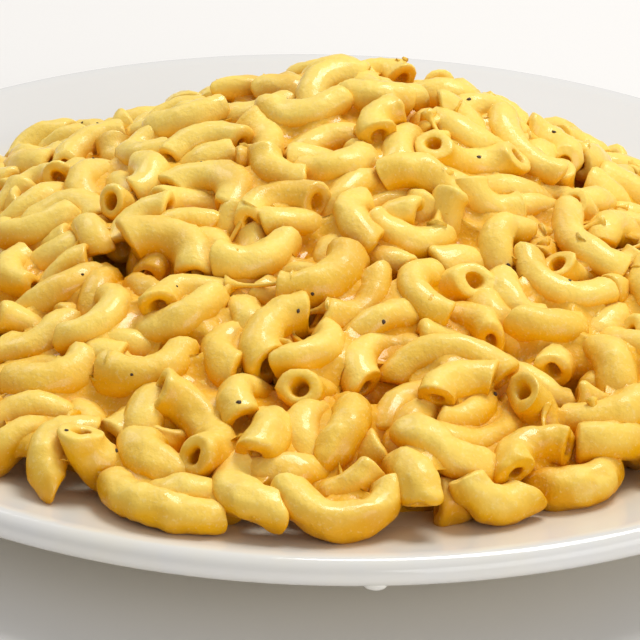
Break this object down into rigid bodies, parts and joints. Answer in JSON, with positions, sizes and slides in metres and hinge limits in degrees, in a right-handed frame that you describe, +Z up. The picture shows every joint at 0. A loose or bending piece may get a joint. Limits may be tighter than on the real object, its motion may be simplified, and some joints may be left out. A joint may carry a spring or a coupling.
{
  "type": "macaroni and cheese on a plate",
  "caption": "Mound of elbow macaroni in cheese sauce, heaped to the rim of a round white coupe plate that stands on a foot ring.",
  "frame": {"origin": "centre of the plate's foot ring, on the surface it stands on", "axes": "+Z up, +Y away from the diner, +X to the diner's right"},
  "size_m": [0.27, 0.27, 0.0601],
  "materials": {
    "white_glaze": "glossy white glaze",
    "cheese_macaroni": "moist pale yellow pasta coated with cheese sauce"
  },
  "bodies": {
    "root": {"plate": "white_glaze", "macaroni_heap": "cheese_macaroni"}
  },
  "joints": []
}
